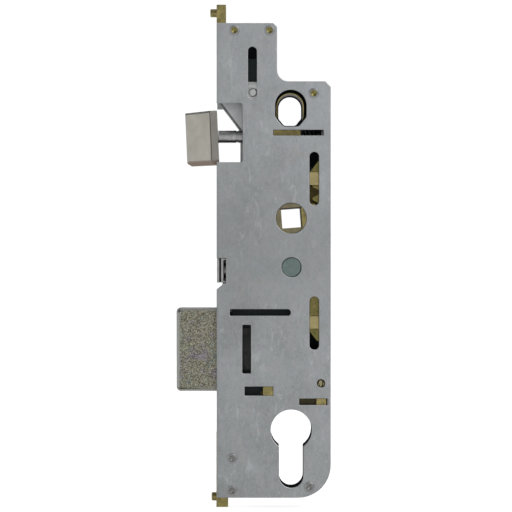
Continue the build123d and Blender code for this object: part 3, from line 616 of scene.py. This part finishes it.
def satin_latch():
    """Warm satin nickel of the latch head; the flat behind the bevel's ridge is browner and darker as
    painted shade.
    """
    low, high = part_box("latch_head")
    f = Finish("satin_latch")
    cloud = f.noise(130, 4, 0.6, warp=0.6)
    fine = f.noise(3400, 3, 0.6, (1, 1, 0.15))
    pits = f.ramp(f.cells(1100).outputs["Distance"], 0.06, 0.12, 1.0, 0.0)
    base = f.colours(
        cloud, (0.3, (0.47, 0.455, 0.41)), (0.5, (0.53, 0.515, 0.465)), (0.7, (0.58, 0.565, 0.51))
    )
    base = f.mix(f.maths("MULTIPLY", pits, 0.4), base, (0.34, 0.32, 0.29))
    # Painted shade: the flat behind the bevel's ridge is made browner and darker.
    flat = f.ramp(f.along("X"), high.x - 4.4 * MM, high.x - 3.4 * MM, 0.0, 1.0)
    base = f.mix(f.maths("MULTIPLY", flat, 0.55), base, (0.33, 0.30, 0.265))
    # Painted shade: a dark line along the bevel's ridge.
    leaning = f.maths("SUBTRACT", f.along("X"), f.maths("MULTIPLY", f.along("Z"), HEAD_LEAN))
    from_ridge = f.maths("ABSOLUTE", f.maths("SUBTRACT", leaning, RIDGE_X))
    ridge = f.ramp(from_ridge, 0.10 * MM, 0.34 * MM, 1.0, 0.0)
    base = f.mix(f.maths("MULTIPLY", ridge, 0.75), base, (0.07, 0.06, 0.05))
    # Painted light: the downward faces of the foot are pinkish brown and less metallic, standing in for the
    # light they reflect.
    foot = f.ramp(f.along("Z"), low.z + 1.6 * MM, low.z + 2.6 * MM, 1.0, 0.0)
    under = f.add("ShaderNodeSeparateXYZ", {"Vector": f.add("ShaderNodeNewGeometry").outputs["Normal"]})
    under = f.ramp(under.outputs["Z"], -0.25, -0.5)
    base = f.mix(f.maths("MULTIPLY", under, f.maths("MULTIPLY", foot, 0.95)), base, (0.34, 0.245, 0.19))
    rough = f.ramp(fine, 0.3, 0.7, 0.30, 0.42)
    material = f.done(base, 1.0, rough, f.relief(fine, 0.00001, 0.5))
    f.feed(f.shader.inputs["Metallic"], f.maths("SUBTRACT", 1.0, f.maths("MULTIPLY", under, 0.85)))
    return material


def drawn_steel(name, colour, rough_low=0.22, rough_high=0.36, axis_stretch=(0.06, 1, 1)):
    """Drawn or turned steel with fine lines along its length and faint dull stains."""
    f = Finish(name)
    lines = f.noise(3200, 3, 0.6, axis_stretch)
    stain = f.noise(300, 4, 0.6, warp=0.5)
    dark = tuple(0.62 * c for c in colour)
    base = f.colours(stain, (0.3, dark), (0.55, colour), (0.75, tuple(min(1, 1.12 * c) for c in colour)))
    base = f.mix(f.maths("MULTIPLY", f.wear(), 0.35), base, (0.75, 0.75, 0.73))
    # Painted shade in the piece's own corners and slots.
    base = f.mix(f.maths("MULTIPLY", f.crevice_shade(1.2 * MM), 0.85), base, (0.04, 0.04, 0.04))
    rough = f.ramp(lines, 0.3, 0.7, rough_low, rough_high)
    return f.done(base, 1.0, rough, f.relief(lines, 0.00001, 0.5))


def blank_face():
    """Grey-green phosphated end of the blank post, with turned rings and a painted highlight round its rim.
    """
    low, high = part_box("handle_bolt_post")
    centre = (low + high) / 2
    f = Finish("blank_face")
    radius = f.radius_from(centre.x, centre.z)
    rings = f.maths("SINE", f.maths("MULTIPLY", radius, 2 * math.pi / (0.22 * MM)))
    cloud = f.noise(420, 4, 0.6, warp=0.5)
    base = f.colours(
        cloud, (0.3, (0.20, 0.27, 0.255)), (0.55, (0.255, 0.325, 0.305)), (0.75, (0.31, 0.37, 0.35))
    )
    # Painted highlight: a pale ring round the rim.
    rim = f.ramp(radius, (high.x - low.x) / 2 - 0.45 * MM, (high.x - low.x) / 2 - 0.2 * MM)
    base = f.mix(f.maths("MULTIPLY", rim, 0.5), base, (0.52, 0.55, 0.50))
    rough = f.ramp(cloud, 0.3, 0.7, 0.38, 0.52)
    return f.done(base, 1.0, rough, f.relief(rings, 0.000008, 0.5))


def pin_finish():
    """Passivated pin end: a pale gold centre inside a dark olive rim."""
    low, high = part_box("detent_pin")
    centre = (low + high) / 2
    f = Finish("pin_finish")
    radius = f.radius_from(centre.x, centre.z)
    drift = f.noise(900, 3, 0.6, warp=0.5)
    inner = f.colours(drift, (0.3, (0.46, 0.41, 0.23)), (0.7, (0.62, 0.56, 0.34)))
    rim = f.ramp(radius, 1.05 * MM, 1.3 * MM)
    base = f.mix(f.maths("MULTIPLY", rim, 0.85), inner, (0.15, 0.135, 0.07))
    return f.done(base, 1.0, f.ramp(drift, 0.3, 0.7, 0.32, 0.44), f.relief(drift, 0.00002, 0.4))


def slide_finish():
    """The slide's finish: near-black as painted shade, and yellow passivated where it backs the rack."""
    f = Finish("slide_finish")
    drift = f.noise(330, 4, 0.6, warp=0.8)
    # Painted shade: the slide is near-black away from the rack.
    dark = f.colours(drift, (0.3, (0.045, 0.055, 0.058)), (0.7, (0.085, 0.097, 0.10)))
    yellow = f.colours(drift, (0.3, (0.17, 0.14, 0.06)), (0.7, (0.34, 0.28, 0.12)))
    right = f.ramp(f.along("X"), 6.0 * MM, 6.4 * MM)
    low = f.ramp(f.along("Z"), 14.0 * MM, 14.6 * MM, 1.0, 0.0)
    base = f.mix(f.maths("MULTIPLY", right, low), dark, yellow)
    return f.done(base, 1.0, f.ramp(drift, 0.3, 0.7, 0.35, 0.55), f.relief(drift, 0.00003, 0.4))


def inner_steel(name, tone):
    """Greased grey steel of the hidden guides and stops; at a low tone it is near-black as painted shade."""
    f = Finish(name)
    smear = f.noise(260, 4, 0.6, warp=0.7)
    fine = f.noise(2600, 3, 0.6)
    low_tone = tuple(tone * c for c in (0.22, 0.225, 0.21))
    high_tone = tuple(tone * c for c in (0.36, 0.37, 0.35))
    base = f.colours(smear, (0.3, low_tone), (0.7, high_tone))
    return f.done(base, 1.0, f.ramp(smear, 0.3, 0.7, 0.25, 0.5), f.relief(fine, 0.00002, 0.4))


zinc = zinc_sheet()
gold = gold_passivate("gold_passivate")
dull_gold = gold_passivate("dull_gold", 0.72)
bolt_skin = grained_bolt()
latch_skin = satin_latch()
bright_steel = drawn_steel("bright_steel", (0.58, 0.58, 0.57))
plated_steel = drawn_steel("plated_steel", (0.46, 0.46, 0.45), 0.3, 0.44, (1, 1, 0.1))
spring_wire = drawn_steel("spring_wire", (0.34, 0.34, 0.33), 0.2, 0.34, (1, 1, 1))
blank_skin = blank_face()
slide_skin = slide_finish()
pin_skin = pin_finish()
# Painted shade: the latch spring's wire is near-black.
dark_wire = drawn_steel("dark_wire", (0.07, 0.075, 0.085), 0.3, 0.45, (1, 1, 1))
link_skin = drawn_steel("link_skin", (0.72, 0.72, 0.71), 0.26, 0.38, (1, 1, 0.2))
grey_inner = inner_steel("inner_steel", 1.0)
# Painted shade: the same steel near-black, for parts inside the case.
shaded_inner_steel = inner_steel("shaded_inner_steel", 0.24)

FINISHES = {
    "zinc_plate": zinc,
    "yellow_passivated": gold,
    "sintered_bolt": bolt_skin,
    "nickel_latch": latch_skin,
    "post_steel": blank_skin,
    "spring_steel": spring_wire,
}
SPECIAL = {
    "latch_shaft": bright_steel,
    "upper_link": link_skin,
    "upper_link_rivet": link_skin,
    "faceplate_clip_nut": plated_steel,
    "latch_guide": grey_inner,
    "latch_crosshead": grey_inner,
    "spring_stops": grey_inner,
    "latch_spring_stop": grey_inner,
    "lower_case_posts": plated_steel,
    "drive_slide": slide_skin,
    "follower": follower_finish(),
    "window_sleeve": sleeve_finish(),
    "key_slide": key_slide_finish(),
    "rack_bar": rack_finish(),
    "detent_pin": pin_skin,
    "latch_spring": dark_wire,
    "deadbolt_tail": shaded_inner_steel,
    "deadbolt_rivets": shaded_inner_steel,
    "deadbolt_drive_pin": shaded_inner_steel,
    "throw_lever": shaded_inner_steel,
    "throw_lever_pin": shaded_inner_steel,
    "latch_lever": shaded_inner_steel,
    "latch_lever_pin": shaded_inner_steel,
    "detent_lever": shaded_inner_steel,
    "slide_lug": shaded_inner_steel,
    "lug_rivets": shaded_inner_steel,
    "latch_tail_bar": dull_gold,
}
SLOT_OF = {entry["node"]: entry["material_slot"] for entry in frame["record"]["subparts"]}


def finish_of(node):
    """The material of a CAD node, by its own name or by its slot."""
    return SPECIAL.get(node, FINISHES[SLOT_OF[node]])


def dress(piece, material):
    """Gives a piece one material."""
    piece.data.materials.clear()
    piece.data.materials.append(material)
    return piece


# ---------------------------------------------------------------- formed copies of the CAD pieces

# Round on each of these nodes' sharp edges, in mm.
EDGE_ROUND = {
    "deadbolt": 0.3, "follower": 0.14,
    "upper_rod_connector": 0.2, "lower_rod_connector": 0.2, "window_sleeve": 0.15,
    "handle_bolt_post": 0.1, "faceplate_clip_nut": 0.15, "latch_shaft": 0.1,
    "latch_tail_bar": 0.12, "upper_link": 0.1, "drive_slide": 0.12, "detent_pin": 0.2,
    "deadbolt_tail": 0.12, "throw_lever": 0.12, "latch_lever": 0.12,
}


def form_cad_pieces():
    """Rounds the nodes in EDGE_ROUND as copies, and gives the other nodes their finish as they are."""
    for node, round_mm in EDGE_ROUND.items():
        piece = softened(node, round_mm * MM)
        dress(piece, finish_of(node))
    for node, cad in frame["nodes"].items():
        if node not in EDGE_ROUND:
            dress(cad, finish_of(node))


# ---------------------------------------------------------------- pieces worked out here

def case_post_centres(node):
    """Centres (x, z) of a node's posts, from where its points lie, one for each separate head."""
    mesh = frame["nodes"][node].data
    points = np.empty(len(mesh.vertices) * 3)
    mesh.vertices.foreach_get("co", points)
    flat = points.reshape(-1, 3)[:, [0, 2]]
    centres = []
    while len(flat):
        near = np.linalg.norm(flat - flat[0], axis=1) < 6 * MM
        centres.append((flat[near].max(axis=0) + flat[near].min(axis=0)) / 2)
        flat = flat[~near]
    return centres


def riveted_post(front_y, back_y):
    """Half outline (radius, y) of a post: a dimpled, rolled-over head at the cover and a plain one behind.

    The head's rim is a quarter-sine bulge and the dimple a half-cosine hollow.
    """
    head_r, dimple_r, stem_r = POST_HEAD_R, POST_DIMPLE_R, 1.4 * MM
    head_t = 0.42 * MM
    hollow = np.linspace(0.02, 1, 10)
    dimple = [(dimple_r * s, front_y + 0.5 * MM * (1 + math.cos(math.pi * s)) / 2 - head_t) for s in hollow]
    swell = np.linspace(0, 1, 10)
    rim = [
        (dimple_r + (head_r - dimple_r) * s, front_y - head_t * math.sqrt(max(0.0, 1 - s ** 3)))
        for s in swell[1:]
    ]
    shank = [(stem_r, front_y), (stem_r, back_y)]
    behind = [
        (head_r, back_y), (head_r, back_y + 0.1 * MM), (head_r - 0.25 * MM, back_y + 0.33 * MM),
        (0.02 * MM, back_y + 0.39 * MM),
    ]
    return dimple + rim + shank + behind


def add_case_posts():
    """Turned posts with rolled heads in place of the CAD ones."""
    outline = riveted_post(COVER_FACE_Y, BACK_FACE_Y)
    for node, dimple in (("upper_case_posts", (0.42, 0.36, 0.13)), ("lower_case_posts", (0.42, 0.42, 0.40))):
        centres = case_post_centres(node)
        posts = turned_profile(node + "_turned", centres, outline)
        dress(posts, post_head(node + "_head", dimple, centres))
        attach(posts, "case")
        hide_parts(node)


def add_springs():
    """Coils between the ends of their CAD solids."""
    springs = (
        ("upper_centring_spring", "drive_slide", (0, 0, 1), 9, 0.35 * MM, 2, 0.55),
        ("lower_centring_spring", "drive_slide", (0, 0, 1), 9, 0.35 * MM, 2, 0.55),
        ("latch_spring", "latch_slide", (1, 0, 0), 13, 0.3 * MM, 0, 0.52),
    )
    for node, joint, axis, turns, wire_r, lengthwise, keep in springs:
        low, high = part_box(node)
        middle = (low + high) / 2
        start = Vector(middle)
        start[lengthwise] = low[lengthwise]
        length = high[lengthwise] - low[lengthwise]
        coil_r = (high.y - low.y) / 2 - wire_r
        coil = wire_coil(node + "_coil", start, axis, length, coil_r, wire_r, turns)
        dress(coil, finish_of(node))
        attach(coil, "case")
        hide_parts(node)
        fixed = Vector(middle)
        fixed[lengthwise] = low[lengthwise] if node.startswith("lower") else high[lengthwise]
        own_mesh(coil)


def add_detent_spring():
    """A short torsion coil round the detent pin, in front of its lever."""
    pin_low, pin_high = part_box("detent_pin")
    lever_low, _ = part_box("detent_lever")
    start = ((pin_low.x + pin_high.x) / 2, lever_low.y - 2.6 * MM, (pin_low.z + pin_high.z) / 2)
    coil = wire_coil("detent_spring", start, (0, 1, 0), 2.4 * MM, 2.05 * MM, 0.28 * MM, 3.6, 0.5)
    dress(coil, spring_wire)
    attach(coil, "case")


def add_nut_thread():
    """The thread in the clip nut: a V ridge wound on a helix inside the collar's wall.

    centre line = (x(t), r cos 2 pi t, r sin 2 pi t); the ridge's three corners are its two feet, set
    into the wall half a pitch apart, and its crest, one thread depth further in.
    """
    low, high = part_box("faceplate_clip_nut")
    pitch, wall_r, depth = 0.8 * MM, 2.1 * MM, 0.4 * MM
    x_end = high.x - 0.35 * MM
    turns = 3.6
    t = np.linspace(0, turns, int(turns * 48) + 1)
    mid_z = (low.z + high.z) / 2
    x = x_end - pitch * (turns - t)
    radii = np.array([wall_r + 0.05 * MM, wall_r - depth, wall_r + 0.05 * MM])
    offsets = np.array([-0.36 * pitch, 0, 0.36 * pitch])
    taper = np.clip(np.minimum(t, turns - t) / 0.4, 0.02, 1)[:, None]
    r = radii[0] - (radii[0] - radii) * taper
    angle = 2 * np.pi * t[:, None]
    rings = np.stack([x[:, None] + offsets * taper, r * np.cos(angle), mid_z + r * np.sin(angle)], axis=-1)
    thread = outward(mesh_piece("nut_thread", *closed_tube(rings), 20))
    dress(thread, plated_steel)
    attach(thread, "case")


# ---------------------------------------------------------------- stage, light and camera

def add_floor():
    """A pale level floor under the lock, curving up to a far wall by a quarter of a circle."""
    near_y, bend_y, bend_r = -3.0, 2.2, 1.2
    floor_z = LOWEST_Z - 0.2 * MM
    arc = np.linspace(0, np.pi / 2, 24)
    y = np.concatenate([[near_y], bend_y + bend_r * np.sin(arc), [bend_y + bend_r]])
    z = np.concatenate([[0], bend_r * (1 - np.cos(arc)), [4.0]]) + floor_z
    x = np.array([-4.0, 4.0])
    across = np.tile(x, (len(y), 1))
    points = np.stack([across, np.repeat(y[:, None], 2, axis=1), np.repeat(z[:, None], 2, axis=1)], axis=-1)
    first = np.arange(len(y) - 1) * 2
    faces = np.stack([first, first + 1, first + 3, first + 2], axis=-1).tolist()
    floor = mesh_piece("floor", points, faces, 60)
    f = Finish("pale_floor")
    f.shader.inputs["Base Color"].default_value = (0.9, 0.9, 0.9, 1)
    f.shader.inputs["Roughness"].default_value = 0.9
    f.shader.inputs["Specular IOR Level"].default_value = 0.1
    f.shader.inputs["Emission Color"].default_value = (1, 1, 1, 1)
    seen = f.add("ShaderNodeLightPath").outputs["Is Camera Ray"]
    f.feed(f.shader.inputs["Emission Strength"], f.maths("ADD", 0.16, f.maths("MULTIPLY", seen, 0.64)))
    dress(floor, f.material)


def add_light(name, place, aim, size, power, colour=(1, 1, 1)):
    """A square soft light at place that faces aim."""
    data = bpy.data.lights.new(name, "AREA")
    data.shape = "SQUARE"
    data.size = size
    data.energy = power
    data.color = colour
    light = bpy.data.objects.new(name, data)
    light.location = place
    light.rotation_euler = (Vector(aim) - Vector(place)).to_track_quat("-Z", "Y").to_euler()
    bpy.context.scene.collection.objects.link(light)


def add_world():
    """White to the camera, softer on the metal, and darker below than above."""
    world = bpy.data.worlds.new("studio")
    bpy.context.scene.world = world
    world.use_nodes = True
    tree = world.node_tree
    seen = tree.nodes["Background"]
    seen.inputs["Color"].default_value = (1, 1, 1, 1)
    lit = tree.nodes.new("ShaderNodeBackground")
    lit.inputs["Color"].default_value = (0.93, 0.96, 1.0, 1)
    lit.inputs["Strength"].default_value = 0.2
    path = tree.nodes.new("ShaderNodeLightPath")
    chosen = tree.nodes.new("ShaderNodeMixShader")
    tree.links.new(path.outputs["Is Camera Ray"], chosen.inputs[0])
    tree.links.new(lit.outputs[0], chosen.inputs[1])
    tree.links.new(seen.outputs[0], chosen.inputs[2])
    tree.links.new(chosen.outputs[0], tree.nodes["World Output"].inputs["Surface"])


def add_camera():
    """Square-on to the cover, so far away that the frame is 222 mm wide at the cover's face."""
    aim = Vector((-15.3 * MM, COVER_FACE_Y, -16.4 * MM))
    data = bpy.data.cameras.new("camera")
    data.lens = 144
    data.clip_start = 0.01
    camera = bpy.data.objects.new("camera", data)
    camera.location = aim - Vector((0, CAMERA_DISTANCE, 0))
    camera.rotation_euler = (math.pi / 2, 0, 0)
    bpy.context.scene.collection.objects.link(camera)
    bpy.context.scene.camera = camera


form_cad_pieces()
add_case_posts()
add_springs()
add_detent_spring()
add_nut_thread()
add_floor()
add_world()
middle = (0, 0, -16 * MM)
add_light("key", (0.75, -0.95, 0.85), middle, 0.7, 4.6)
add_light("fill", (-0.9, -1.2, 0.1), middle, 1.0, 1.3, (0.95, 0.97, 1.0))
add_light("behind_camera", (0.1, -1.9, 0.2), middle, 1.4, 1.9)
add_light("latch_side", (-1.3, -0.35, 0.12), middle, 0.8, 1.5, (1.0, 0.97, 0.92))
add_light("top", (0.1, 0.1, 1.3), middle, 0.8, 1.6)
add_light("rear", (0.3, 1.1, 0.5), middle, 0.8, 1.6)
add_camera()
bpy.context.scene.view_settings.view_transform = "Standard"
